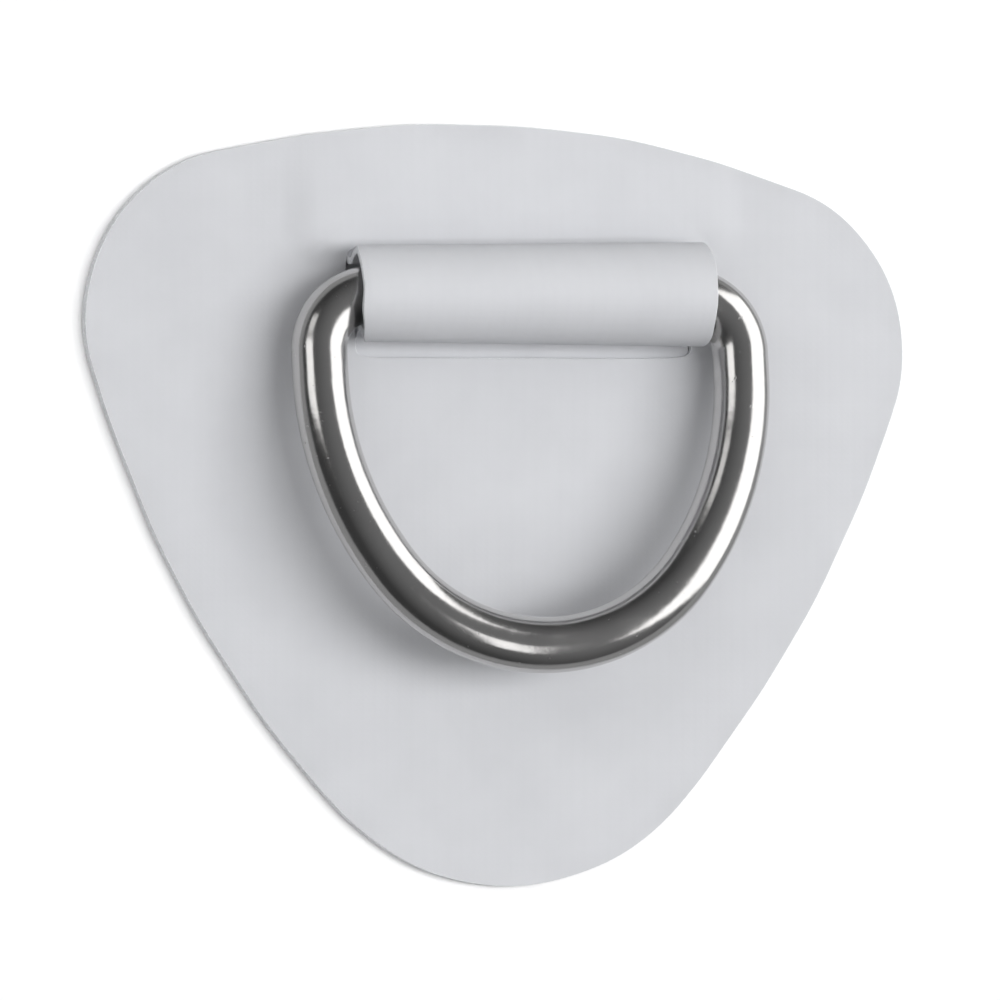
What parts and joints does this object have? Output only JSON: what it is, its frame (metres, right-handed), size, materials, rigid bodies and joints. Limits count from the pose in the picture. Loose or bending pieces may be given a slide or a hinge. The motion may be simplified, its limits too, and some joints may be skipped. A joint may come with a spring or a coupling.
{
  "type": "d-ring patch",
  "caption": "Glue-on pad eye for an inflatable boat: a coated-fabric patch with a strap sleeve that holds a swinging stainless D-ring.",
  "frame": {"origin": "on the glue face, at the middle of the patch's width and height", "axes": "+X along the ring's straight bar, +Y from the ring's bow towards the sleeve, +Z out of the glue face, off the boat"},
  "size_m": [0.122, 0.1088, 0.0209],
  "materials": {
    "base_fabric": "matte coated fabric",
    "patch_fabric": "satin coated fabric",
    "strap_fabric": "satin coated fabric",
    "polished_ring": "mirror-polished stainless steel",
    "weld_metal": "as welded"
  },
  "bodies": {
    "patch": {"base_patch": "base_fabric", "top_patch": "patch_fabric", "loop_strap": "strap_fabric"},
    "ring": {"d_ring": "polished_ring", "ring_weld": "weld_metal"}
  },
  "joints": [
    {"name": "ring_swing", "type": "hinge", "parent": "patch", "child": "ring", "pos_m": [0.0025, 0.0301, 0.00859], "axis": [-1, 0, 0], "range_deg": [-11, 173]}
  ]
}
